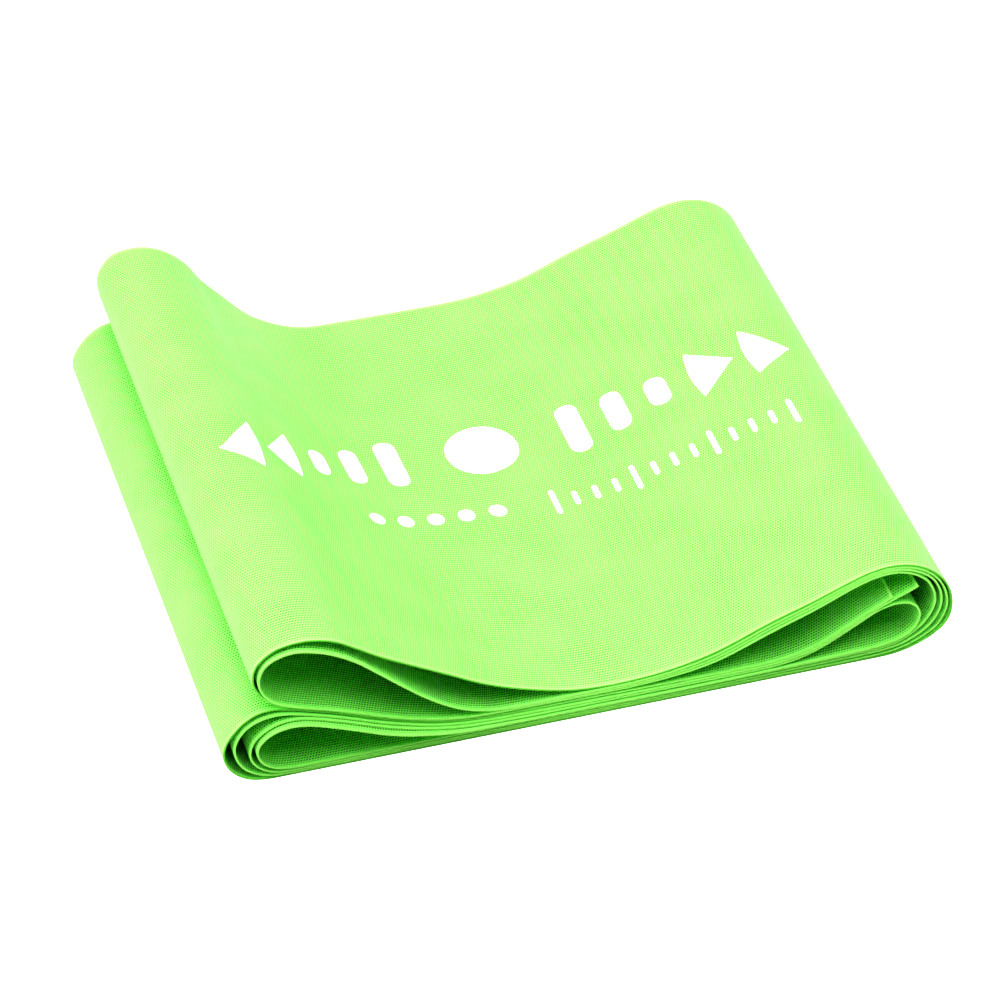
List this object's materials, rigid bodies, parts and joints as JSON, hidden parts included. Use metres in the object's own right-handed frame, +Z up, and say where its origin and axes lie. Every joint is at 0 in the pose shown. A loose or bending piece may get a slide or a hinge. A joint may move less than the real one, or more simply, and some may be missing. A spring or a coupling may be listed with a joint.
{
  "type": "resistance band",
  "caption": "Wide flat strip of thin green elastic sheet, halved and zigzagged into a loose flat pack with open rounded bends at both ends.",
  "frame": {"origin": "centre of the pack's footprint, on the surface it rests on", "axes": "+X along the pack towards the end with the free ends of the strip, +Y across the width of the strip, +Z up"},
  "size_m": [0.1717, 0.1531, 0.041],
  "materials": {
    "band_sheet": "thin satin elastic sheet with a fine embossed dot grain"
  },
  "bodies": {
    "root": {"band": "band_sheet"}
  },
  "joints": []
}
